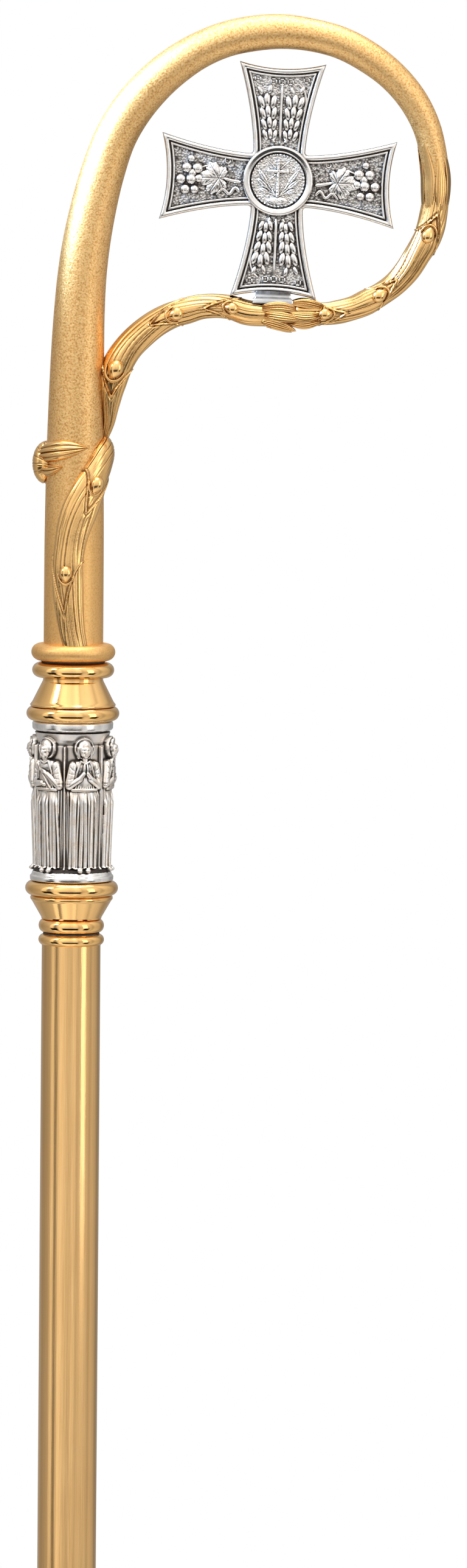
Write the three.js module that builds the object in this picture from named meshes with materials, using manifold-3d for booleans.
// Crozier: a bishop's pastoral staff in brass, with a standing cross inside the crook.
// Units are millimetres, +Z is up. The origin is the centre of the flat face of the foot tip,
// on the staff's axis. +X points the way the crook opens, -Y is the front of the cross.
import * as THREE from 'three';
import * as BufferGeometryUtils from 'three/addons/utils/BufferGeometryUtils.js';
import Module from 'manifold-3d';

const wasm = await Module();
wasm.setup();

// ---------------------------------------------------------------- driving dimensions
const STAFF_R = 12.7;            // staff tube, 1 inch outside diameter
const STAFF_BORE_R = 11.5;       // 1.2 mm wall
const STAFF_RING_R = 14.1;       // polished end rings of the staff sections
const PLUG_R = 11.2;             // bushes and plugs soldered inside the tubes
const STAFF_STUD_R = 5.0;        // M10 studs between the staff sections and the knop
const CROOK_STUD_R = 4.0;        // M8 stud under the crook
const THREAD_GAP = 0.35;         // radial room between a stud and its bush
const STUD_LENGTH = 14;          // length of every stud below its shoulder
const WASHER_T = 0.6;            // fibre washer in each screwed joint
const SEAM = 0.1;                // room on each side of a washer
const Z_CROOK = 1552.4;          // top face of the knop, where the crook screws on
const Z_KNOP = 1435.1;           // top face of the upper staff section
const Z_MID = 956.7;             // top face of the middle staff section
const Z_LOW = 478.2;             // top face of the lower staff section
const CROOK_WALL = 1.3;          // wall of the hollow crook
const ROUND = 20;                // sides of the turned rings
const HIDDEN = 14;               // sides of pieces that only show when the staff is apart
const TUBE_SIDES = 12;           // sides of the crook's tube

const CROSS = { x: 86.2, z: 1759.9, tilt: -2.0, reach: 50.3, neck: 11.1, end: 18.5, root: 11.2, cove: 2.6 };
const PLATE_T = 3.0;             // thickness of each of the cross's two plates
const PLATE_GAP = 0.15;          // half the gap between the plates
const RIM_W = 3.4;               // width of the raised moulding round each plate
const FIELD_DEPTH = 1.0;         // depth of the field inside the moulding
const MEDAL_R = 15.0, MEDAL_INNER_R = 12.1;
const SCREW_R = 1.5;             // screw that stands the cross on the vine arm
const SCREW_FROM = -59.6, SCREW_TO = -36;   // its ends, from the centre of the cross

// crook centreline, from the foot of the stem to the end of the tube: x, z, outside radius
const CROOK = [
  [0, 1553.6, 12.8], [0, 1580, 12.8], [0, 1610, 12.7], [0.1, 1640, 12.3], [0.5, 1665, 11.9], [0.9, 1686, 11.4],
  [1.5, 1703, 10.9], [2.6, 1719, 10.5], [4.4, 1733, 10.2], [7.4, 1748.5, 9.8], [11.2, 1763.2, 9.4],
  [16.5, 1778, 9.0], [23.5, 1789.9, 8.8], [32.4, 1800.4, 8.5], [41.4, 1808.3, 8.2], [51.7, 1815, 7.8],
  [63.1, 1819.9, 7.6], [75.2, 1822.6, 7.6], [87.8, 1823.5, 7.4], [100.4, 1822.1, 7.0], [112.9, 1818.8, 6.9],
  [124.5, 1812.8, 6.8], [134.9, 1804.9, 6.5], [143.5, 1795, 6.3], [149.6, 1783.4, 6.0], [152.8, 1770.8, 5.8],
  [153.6, 1762.6, 5.8],
];
// polished vine that carries on from the end of the tube and curls in under the cross
const END_VINE = [
  [153.8, 1761.9, 5.9], [153.9, 1756, 5.8], [153.4, 1749, 5.9], [151.9, 1741, 6.4], [149.2, 1734, 6.8], [146.1, 1728.5, 5.9],
  [142, 1722, 5.6], [136.8, 1716.2, 5.3], [131, 1711.8, 5.4], [125.3, 1708.5, 6.0], [119, 1705.6, 5.0],
  [112.5, 1703.8, 5.2], [106.6, 1703, 5.2], [100.7, 1703.2, 5.4], [96.6, 1704, 5.0], [94.6, 1704.3, 3.0],
];
// vine arm: leaves the stem on its inner side and arches over to meet the other under the cross
const ARM_VINE = [
  [11.5, 1650.5, 1.9], [14.0, 1657.5, 3.4], [14.4, 1666, 5.6], [15.4, 1675, 7.2], [18.9, 1682.5, 7.0], [23.2, 1688.4, 6.5],
  [28.6, 1693.8, 6.2], [34.4, 1698.2, 6.0], [41.0, 1701.7, 6.0], [47.5, 1703.8, 6.0], [53.6, 1705.5, 5.3],
  [60.5, 1706, 5.3], [67, 1704.8, 5.1], [73.2, 1703, 5.4], [80, 1702.5, 5.2], [86.5, 1702.4, 5.1], [91.5, 1702.4, 4.0],
];
// buds in the forks of the vine: x, y, z, radius
const END_BUDS = [[151, -4.9, 1736.6, 3.2], [125.8, -3.9, 1707.9, 3.0], [103.6, -3.6, 1701.9, 2.8]];
const ARM_BUDS = [[15.8, -5.0, 1679.3, 3.6], [45.2, -4.4, 1703.3, 3.0], [68.3, -4.0, 1704.6, 2.6]];

// ---------------------------------------------------------------- geometry helpers
function solid(geometry) {
  let g = geometry.clone();
  for (const name of Object.keys(g.attributes)) if (name !== 'position') g.deleteAttribute(name);
  g = BufferGeometryUtils.mergeVertices(g, 1e-4);
  const index = g.index.array, p = g.attributes.position, kept = [];
  const a = new THREE.Vector3(), b = new THREE.Vector3(), c = new THREE.Vector3();
  let volume = 0;
  for (let i = 0; i < index.length; i += 3) {
    const [i0, i1, i2] = [index[i], index[i + 1], index[i + 2]];
    if (i0 === i1 || i1 === i2 || i2 === i0) continue;
    kept.push(i0, i1, i2);
    a.fromBufferAttribute(p, i0); b.fromBufferAttribute(p, i1); c.fromBufferAttribute(p, i2);
    volume += a.dot(b.cross(c));
  }
  if (volume < 0) for (let i = 0; i < kept.length; i += 3) [kept[i + 1], kept[i + 2]] = [kept[i + 2], kept[i + 1]];
  g.setIndex(kept);
  return g;
}

function toManifold(geometry) {
  const g = solid(geometry);
  return new wasm.Manifold(new wasm.Mesh({
    numProp: 3,
    vertProperties: new Float32Array(g.attributes.position.array),
    triVerts: new Uint32Array(g.index.array),
  }));
}

function fromManifold(m) {
  const mesh = m.getMesh();
  const g = new THREE.BufferGeometry();
  g.setAttribute('position', new THREE.BufferAttribute(new Float32Array(mesh.vertProperties), 3));
  g.setIndex([...mesh.triVerts]);
  return g;
}

// turned solid: the profile is a closed loop of [radius, z], or starts and ends on the axis
function turned(profile, sides = ROUND) {
  const points = profile.map(([r, z]) => new THREE.Vector2(r, z));
  const onAxis = profile[0][0] === 0 && profile[profile.length - 1][0] === 0;
  if (!onAxis) points.push(points[0].clone());
  return solid(new THREE.LatheGeometry(points, sides).rotateX(Math.PI / 2));
}

// ring with a plain bore: outer is a list of [radius, z] from the bottom up
function ring(outer, bore, sides = ROUND) {
  const [bottom, top] = [outer[0][1], outer[outer.length - 1][1]];
  return turned([[bore, bottom], ...outer, [bore, top]], sides);
}

// half-round moulding between two heights
function bead(r, z0, z1, steps = 6, inner = r - (z1 - z0) / 2) {
  const out = [];
  for (let i = 0; i <= steps; i++) {
    const t = -Math.PI / 2 + (Math.PI * i) / steps;
    out.push([inner + (r - inner) * Math.cos(t), (z0 + z1) / 2 + ((z1 - z0) / 2) * Math.sin(t)]);
  }
  return out;
}

function disc(r, z0, z1, sides = ROUND) {
  return turned([[0, z0], [r, z0], [r, z1], [0, z1]], sides);
}

// A cylinder bent along a curve. points are [x, y, z, radius]; side(position) gives the
// direction in which the section is flattened by the factor flat.
function bent(points, { sides = 10, steps = 30, side = () => new THREE.Vector3(0, 1, 0), flat = 1, scale = 1 } = {}) {
  const curve = new THREE.CatmullRomCurve3(points.map((q) => new THREE.Vector3(q[0], q[1], q[2])), false, 'centripetal');
  const radii = new THREE.CatmullRomCurve3(points.map((q, i) => new THREE.Vector3(i, q[3], 0)), false, 'centripetal');
  const g = new THREE.CylinderGeometry(1, 1, 1, sides, steps);
  const p = g.attributes.position;
  const at = new THREE.Vector3(), t = new THREE.Vector3(), n = new THREE.Vector3(), b = new THREE.Vector3();
  for (let i = 0; i < p.count; i++) {
    const u = Math.min(1, Math.max(0, 0.5 - p.getY(i)));
    curve.getPoint(u, at);
    curve.getTangent(u, t);
    const r = radii.getPoint(u).y * scale;
    n.copy(side(at));
    n.addScaledVector(t, -n.dot(t)).normalize();
    b.crossVectors(t, n);
    const [x, z] = [p.getX(i), p.getZ(i)];
    p.setXYZ(i, at.x + r * (x * b.x + z * n.x * flat), at.y + r * (x * b.y + z * n.y * flat), at.z + r * (x * b.z + z * n.z * flat));
  }
  return solid(g);
}

const flatPoints = (list) => list.map(([x, z, r]) => [x, 0, z, r]);

function ball(x, y, z, r) {
  return new THREE.SphereGeometry(r, 8, 5).translate(x, y, z);
}

const root = new THREE.Group();
root.name = 'crozier';
const LOOKS = {
  gold_satin: { color: 0xe2b877, roughness: 0.5, metalness: 1 },
  gold_polished: { color: 0xf0c877, roughness: 0.12, metalness: 1 },
  gold_brushed: { color: 0xd9ad70, roughness: 0.35, metalness: 1 },
  silver_oxidised: { color: 0xb9bcc0, roughness: 0.3, metalness: 1 },
  steel: { color: 0xa7a9ac, roughness: 0.35, metalness: 1 },
  fibre: { color: 0x35302c, roughness: 0.8, metalness: 0 },
};
const materials = Object.fromEntries(Object.entries(LOOKS).map(([k, v]) => [k, new THREE.MeshStandardMaterial({ name: k, ...v })]));

function add(name, geometry, look, parent = root) {
  const mesh = new THREE.Mesh(solid(geometry), materials[look]);
  mesh.name = name;
  parent.add(mesh);
  return mesh;
}

// ---------------------------------------------------------------- crook
const crook = new THREE.Group();
root.add(crook);
const crookOuter = bent(flatPoints(CROOK), { sides: TUBE_SIDES, steps: 36 });
// the bore is cut a little past both ends so that it opens the tube
const boreLine = CROOK.map(([x, z, r]) => [x, z, r - CROOK_WALL]);
boreLine[0] = [0, 1552, 12.8 - CROOK_WALL];
boreLine.push([153.75, 1760.5, 5.8 - CROOK_WALL]);
const crookBore = bent(flatPoints(boreLine), { sides: 8, steps: 30 });
add('crook_tube', fromManifold(toManifold(crookOuter).subtract(toManifold(crookBore))), 'gold_satin', crook);

// collar: half-round ring at the foot of the stem, with a shoulder that sits on the washer
const collarBottom = Z_CROOK + WASHER_T + 2 * SEAM;
add('crook_collar', turned([
  [6.2, collarBottom], [14.2, collarBottom], ...bead(18.07, 1553.2, 1560.5, 5, 14.4), [13.15, 1560.5],
  [13.15, 1553.45], [6.2, 1553.45],
]), 'gold_satin', crook);

// stud: a plug soldered in the stem, and the thread that screws into the knop
add('crook_stud', turned([
  [0, Z_CROOK - STUD_LENGTH], [CROOK_STUD_R - 0.8, Z_CROOK - STUD_LENGTH], [CROOK_STUD_R, Z_CROOK - STUD_LENGTH + 0.8],
  [CROOK_STUD_R, 1553.15], [5.9, 1553.15], [5.9, 1553.75], [9.8, 1553.75], [9.8, 1571], [0, 1571],
], HIDDEN), 'steel', crook);

// vine on the front of the stem, its wrap round the back, and the arm that leaves the stem.
// Each is bent on a path round the stem and cut to sit on the tube.
const stemCut = toManifold(bent(flatPoints(CROOK).slice(0, 12), { sides: 20, steps: 14, scale: 1.035 }));
const radial = (v) => new THREE.Vector3(v.x, v.y, 0);
const onStem = (list) => list.map(([deg, rad, z, w]) => {
  const a = (deg * Math.PI) / 180;       // 0 is the front, 90 the +X side
  return [rad * Math.sin(a), -rad * Math.cos(a), z, w];
});
const clear = (geometry) => fromManifold(toManifold(geometry).subtract(stemCut));

const frontStalk = onStem([
  [5, 13.0, 1562.3, 4.6], [-2, 13.0, 1568, 4.9], [-9, 13.0, 1578, 5.4], [-14, 13.0, 1588, 6.0], [-15, 13.2, 1596, 6.2],
  [-8, 13.2, 1603, 5.6], [2, 13.2, 1611, 5.6], [18, 13.2, 1619, 6.3], [38, 13.1, 1627, 6.8], [50, 13.1, 1632.2, 6.2],
]);
add('vine_front_stalk', clear(bent(frontStalk, { sides: 8, steps: 18, side: radial, flat: 0.62 })), 'gold_polished', crook);
const wrapLine = onStem([
  [62, 13.0, 1635.0, 6.4], [78, 13.0, 1638.5, 7.4], [98, 13.0, 1640.5, 8.0], [125, 12.8, 1641.5, 8.0], [160, 12.6, 1641.6, 7.8],
  [200, 12.6, 1641.2, 7.8], [235, 12.8, 1640.8, 8.0], [262, 13.2, 1640.6, 8.6], [285, 13.3, 1641.0, 8.2],
  [312, 12.9, 1642.8, 5.4], [338, 12.4, 1644.6, 3.4], [356, 12.3, 1645.8, 1.5],
]);
add('vine_wrap', clear(bent(wrapLine, { sides: 8, steps: 24, side: radial, flat: 0.62 })), 'gold_polished', crook);
let arm = toManifold(bent(flatPoints(ARM_VINE), { sides: 8, steps: 24 }));
for (const b of ARM_BUDS) arm = arm.add(toManifold(ball(...b)));
// hole for the screw that holds the cross
const screwHole = new THREE.CylinderGeometry(SCREW_R + 0.3, SCREW_R + 0.3, 24, 12).translate(0, SCREW_FROM - 0.5 + 12, 0)
  .rotateX(Math.PI / 2).rotateY(THREE.MathUtils.degToRad(-CROSS.tilt)).translate(CROSS.x, 0, CROSS.z);
add('vine_arm', fromManifold(arm.subtract(stemCut).subtract(toManifold(screwHole))), 'gold_polished', crook);
let tip = toManifold(bent(flatPoints(END_VINE), { sides: 8, steps: 24 }));
for (const b of END_BUDS) tip = tip.add(toManifold(ball(...b)));
add('vine_end', fromManifold(tip), 'gold_polished', crook);

// ---------------------------------------------------------------- cross
const cross = new THREE.Group();
crook.add(cross);
cross.position.set(CROSS.x, 0, CROSS.z);
cross.rotation.y = THREE.MathUtils.degToRad(-CROSS.tilt);

// outline of the flared cross, moved inwards by inset; it is drawn in x, y and stood up later
function crossOutline(inset = 0) {
  const { reach, neck, end, root: start, cove } = CROSS;
  const half = (t) => neck + (end - neck) * Math.pow(Math.max(0, (t - start) / (reach - start)), 1.66) - inset;
  const arm = [];
  const t0 = start - inset, t1 = reach - inset * 1.1;
  for (let i = 0; i <= 6; i++) {
    const t = t0 + ((t1 - t0) * i) / 6;
    arm.push([half(t), t]);
  }
  const w = arm[arm.length - 1][0];
  for (let i = 1; i < 6; i++) {
    const x = w - (2 * w * i) / 6;
    arm.push([x, t1 - cove * (1 - (x / w) ** 2)]);
  }
  const points = [];
  for (let q = 0; q < 4; q++) {
    const a = q * Math.PI / 2;             // each arm is the first one turned by a right angle
    const side = [...arm, ...arm.slice(0, 7).map(([x, y]) => [-x, y]).reverse()];
    for (const [x, y] of side) points.push(new THREE.Vector2(x * Math.cos(a) - y * Math.sin(a), x * Math.sin(a) + y * Math.cos(a)));
  }
  const out = [];
  for (const p of points) if (!out.length || p.distanceTo(out[out.length - 1]) > 0.4) out.push(p);
  if (out[0].distanceTo(out[out.length - 1]) < 0.4) out.pop();
  return out;
}

// stand a drawing up: its y becomes z, and its depth runs from y0 towards -Y (front) or +Y (back)
function stood(geometry, front) {
  geometry.rotateX(Math.PI / 2);           // x stays, y -> z, depth -> -Y
  if (!front) geometry.rotateZ(Math.PI);
  return geometry;
}
function crossPlate(front) {
  const body = new THREE.ExtrudeGeometry(new THREE.Shape(crossOutline()), { depth: PLATE_T, bevelEnabled: false });
  const field = new THREE.ExtrudeGeometry(new THREE.Shape(crossOutline(RIM_W)), { depth: PLATE_T, bevelEnabled: false });
  field.translate(0, 0, PLATE_T - FIELD_DEPTH);
  const boss = new THREE.CylinderGeometry(MEDAL_R + 0.3, MEDAL_R + 0.3, PLATE_T, ROUND).rotateX(Math.PI / 2).translate(0, 0, PLATE_T / 2);
  const hole = new THREE.CylinderGeometry(1.8, 1.8, 3 * PLATE_T, 12).rotateX(Math.PI / 2);
  // blind hole up from the lower arm for the fixing screw, halved between the plates
  const socket = new THREE.CylinderGeometry(SCREW_R + 0.3, SCREW_R + 0.3, 24, 12).translate(0, SCREW_TO + 0.5 - 12, -PLATE_GAP);
  let m = toManifold(body).subtract(toManifold(field)).add(toManifold(boss));
  m = m.subtract(toManifold(hole)).subtract(toManifold(socket));
  const g = fromManifold(m);
  g.translate(0, 0, PLATE_GAP);
  return stood(g, front);
}
function around(profile, front, sides = ROUND) {   // profile is [radius, distance from the middle plane]
  const g = turned(profile, sides);
  return g.rotateX(front ? Math.PI / 2 : -Math.PI / 2);
}
const face = PLATE_GAP + PLATE_T + 0.15;
for (const [side, front] of [['front', true], ['back', false]]) {
  add(`cross_plate_${side}`, crossPlate(front), 'silver_oxidised', cross);
  add(`medallion_ring_${side}`, around([
    [MEDAL_INNER_R, face], [MEDAL_R, face], [MEDAL_R, face + 1.1], [MEDAL_R - 0.7, face + 1.7], [MEDAL_INNER_R + 0.7, face + 1.7], [MEDAL_INNER_R, face + 1.1],
  ], front), 'silver_oxidised', cross);
  add(`medallion_${side}`, around([[1.8, face], [MEDAL_INNER_R - 0.3, face], [MEDAL_INNER_R - 0.3, face + 0.7], [1.8, face + 0.9]], front, 16), 'silver_oxidised', cross);
}
// the rivet holds the medallions and plates together
const head = face + 1.05;
add('cross_rivet', turned([
  [0, -head - 0.9], [1.6, -head - 0.7], [2.4, -head], [1.5, -head], [1.5, head], [2.4, head], [1.6, head + 0.7], [0, head + 0.9],
], 12).rotateX(Math.PI / 2), 'silver_oxidised', cross);

// foot block under the cross, and the screw that runs up from the vine arm through it
const blockLow = -CROSS.reach - 1.6, blockHigh = -CROSS.reach + CROSS.cove - 0.85;
const blockShape = new THREE.Shape([
  [-8.6, blockLow], [8.6, blockLow], [8.6, blockLow + 1.7], [7.5, blockLow + 2.4], [7.5, blockHigh], [-7.5, blockHigh], [-7.5, blockLow + 2.4], [-8.6, blockLow + 1.7],
].map(([x, y]) => new THREE.Vector2(x, y)));
const block = new THREE.ExtrudeGeometry(blockShape, { depth: 8, bevelEnabled: false }).translate(0, 0, -4);
const upright = (r, y0, y1) => new THREE.CylinderGeometry(r, r, y1 - y0, 12).translate(0, (y0 + y1) / 2, 0);
add('cross_foot_block', stood(fromManifold(toManifold(block).subtract(toManifold(upright(SCREW_R + 0.3, blockLow - 1, blockHigh + 1)))), true), 'silver_oxidised', cross);
add('cross_fixing_screw', stood(upright(SCREW_R, SCREW_FROM, SCREW_TO), true), 'steel', cross);

// ---------------------------------------------------------------- a fibre washer for each screwed joint
const washer = (z, r, bore) => turned([[bore, z + SEAM], [r, z + SEAM], [r, z + SEAM + WASHER_T], [bore, z + SEAM + WASHER_T]], HIDDEN);
add('crook_washer', washer(Z_CROOK, 14.0, CROOK_STUD_R + 0.4), 'fibre');
add('knop_washer', washer(Z_KNOP, 12.4, STAFF_STUD_R + 0.4), 'fibre');
add('upper_washer', washer(Z_MID, 12.4, STAFF_STUD_R + 0.4), 'fibre');
add('lower_washer', washer(Z_LOW, 12.4, STAFF_STUD_R + 0.4), 'fibre');

// ---------------------------------------------------------------- knop
const knop = new THREE.Group();
root.add(knop);
const knopBottom = Z_KNOP + WASHER_T + 2 * SEAM;
const BUSH_R = 9.0, BUSH_HOLE = BUSH_R + 0.3, ROD_HOLE = STAFF_STUD_R + 0.3;
add('knop_top_ring', ring([[15.2, 1545.9], [17.0, 1546.3], [17.7, 1547.6], [17.7, 1550.6], [17.0, 1551.9], [15.6, Z_CROOK]], BUSH_HOLE), 'gold_polished', knop);
add('knop_upper_cone', ring([
  [17.5, 1533.8], [17.9, 1534.2], [17.9, 1535.3], [15.4, 1538.0], [13.7, 1541.8], [13.2, 1543.9], [14.6, 1545.6],
], BUSH_HOLE), 'gold_polished', knop);
add('knop_upper_ring', ring(bead(20.0, 1527.5, 1533.5, 5, 17.0), BUSH_HOLE), 'gold_polished', knop);
add('knop_bush', turned([
  [CROOK_STUD_R + THREAD_GAP, 1552.2], [CROOK_STUD_R + THREAD_GAP, 1536.6], [0, 1536.6], [0, 1529], [BUSH_R, 1529], [BUSH_R, 1552.2],
].reverse(), HIDDEN), 'steel', knop);
add('silver_neck_ring', ring([[15.5, 1522.8], [15.7, 1524.2], [16.6, 1525.2], [17.5, 1526.3], [17.5, 1527.2]], BUSH_HOLE), 'silver_oxidised', knop);
// drum of six figures: a cast shell, open underneath, with a web at the top for the rod
add('figure_drum', turned([
  [ROD_HOLE, 1514], [12.2, 1513], [13.0, 1462.9], [16.9, 1462.9], [17.2, 1480], [17.8, 1491],
  [17.6, 1496], [18.9, 1501], [19.6, 1516], [16.6, 1522.5], [9.4, 1522.5], [9.4, 1516.5], [ROD_HOLE, 1516.5],
], 24), 'silver_oxidised', knop);
add('silver_plinth_ring', ring([[17.5, 1458.4], [17.9, 1459.2], [17.9, 1461.4], [17.3, 1462.6]], ROD_HOLE), 'silver_oxidised', knop);
add('knop_lower_ring', ring(bead(20.0, 1452.1, 1458.1, 5, 17.0), ROD_HOLE), 'gold_polished', knop);
add('knop_lower_cone', ring([
  [13.2, 1442.0], [12.8, 1442.8], [13.4, 1444.6], [14.9, 1446.8], [16.9, 1448.4], [17.5, 1449.2], [17.5, 1451.6], [17.0, 1451.9],
], ROD_HOLE), 'gold_polished', knop);
add('knop_bottom_ring', ring([[12.9, knopBottom], [13.8, knopBottom + 0.7], [14.1, knopBottom + 1.8], [14.1, 1439.8], [13.7, 1441.1], [12.9, 1441.7]], ROD_HOLE), 'gold_polished', knop);
// rod that draws the knop together; its lower end is the stud for the staff
add('knop_tie_rod', turned([
  [0, Z_KNOP - STUD_LENGTH], [STAFF_STUD_R - 0.9, Z_KNOP - STUD_LENGTH], [STAFF_STUD_R, Z_KNOP - STUD_LENGTH + 0.9], [STAFF_STUD_R, 1523.4],
  [STAFF_STUD_R - 0.7, 1524.1], [0, 1524.1],
], HIDDEN), 'steel', knop);
const nutShape = new THREE.Shape([0, 1, 2, 3, 4, 5].map((i) => new THREE.Vector2(8.6 * Math.cos((i * Math.PI) / 3), 8.6 * Math.sin((i * Math.PI) / 3))));
const nutBody = toManifold(new THREE.ExtrudeGeometry(nutShape, { depth: 5, bevelEnabled: false }).translate(0, 0, 1517));
const nutHole = toManifold(disc(ROD_HOLE, 1510, 1530, HIDDEN));
add('knop_rod_nut', fromManifold(nutBody.subtract(nutHole)), 'steel', knop);

// ---------------------------------------------------------------- staff
const LIP = 3.0;                          // how far a tube stops short of the end face of its ring
// top end of a section: polished ring over the tube's end, and a threaded bush inside
function topEnd(prefix, z, group) {
  add(`${prefix}_top_ring`, turned([
    [13.0, z - 4.7], [13.6, z - 4.7], [STAFF_RING_R, z - 4.1], [STAFF_RING_R, z - 0.9], [13.3, z], [11.5, z], [11.5, z - LIP + 0.3], [13.0, z - LIP + 0.3],
  ]), 'gold_polished', group);
  add(`${prefix}_bush`, turned([
    [0, z - 24], [PLUG_R, z - 24], [PLUG_R, z - 0.2], [STAFF_STUD_R + THREAD_GAP, z - 0.2], [STAFF_STUD_R + THREAD_GAP, z - 16.5], [0, z - 16.5],
  ], HIDDEN), 'steel', group);
}
// bottom end: a ring like the top one, and a plug that carries the stud
function bottomEnd(prefix, seat, group) {
  const z = seat + WASHER_T + 2 * SEAM;
  add(`${prefix}_end_ring`, turned([
    [11.5, z], [13.3, z], [STAFF_RING_R, z + 0.9], [STAFF_RING_R, z + 4.1], [13.6, z + 4.7], [13.0, z + 4.7], [13.0, z + LIP - 0.3], [11.5, z + LIP - 0.3],
  ]), 'gold_polished', group);
  add(`${prefix}_stud`, turned([
    [0, seat - STUD_LENGTH], [STAFF_STUD_R - 0.9, seat - STUD_LENGTH], [STAFF_STUD_R, seat - STUD_LENGTH + 0.9], [STAFF_STUD_R, z],
    [PLUG_R, z], [PLUG_R, z + 20], [0, z + 20],
  ], HIDDEN), 'steel', group);
  return z;
}
function tube(name, z0, z1, group) {
  add(name, turned([[STAFF_BORE_R, z0], [STAFF_R, z0], [STAFF_R, z1], [STAFF_BORE_R, z1]], ROUND), 'gold_brushed', group);
}
const upper = new THREE.Group(), middle = new THREE.Group(), lower = new THREE.Group();
root.add(upper, middle, lower);
topEnd('upper_staff', Z_KNOP, upper);
tube('upper_staff_tube', bottomEnd('upper_staff', Z_MID, upper) + LIP, Z_KNOP - LIP, upper);
topEnd('middle_staff', Z_MID, middle);
tube('middle_staff_tube', bottomEnd('middle_staff', Z_LOW, middle) + LIP, Z_MID - LIP, middle);
topEnd('lower_staff', Z_LOW, lower);
tube('lower_staff_tube', 34, Z_LOW - LIP, lower);
// foot: a tapered ferrule plugged into the tube, and a hard tip screwed into it
add('foot_ferrule', turned([
  [4.35, 4.0], [9.0, 4.0], [12.6, 22], [13.0, 28.4], [14.1, 29.2], [14.1, 32.8], [13.2, 33.7], [PLUG_R, 33.7], [PLUG_R, 52], [0, 52], [0, 22], [4.35, 22],
]), 'gold_polished', lower);
add('foot_tip', turned([
  [0, 0], [7.6, 0], [8.6, 1.0], [8.6, 3.7], [4.0, 3.7], [4.0, 19], [3.2, 20], [0, 20],
]), 'steel', lower);

export default root;
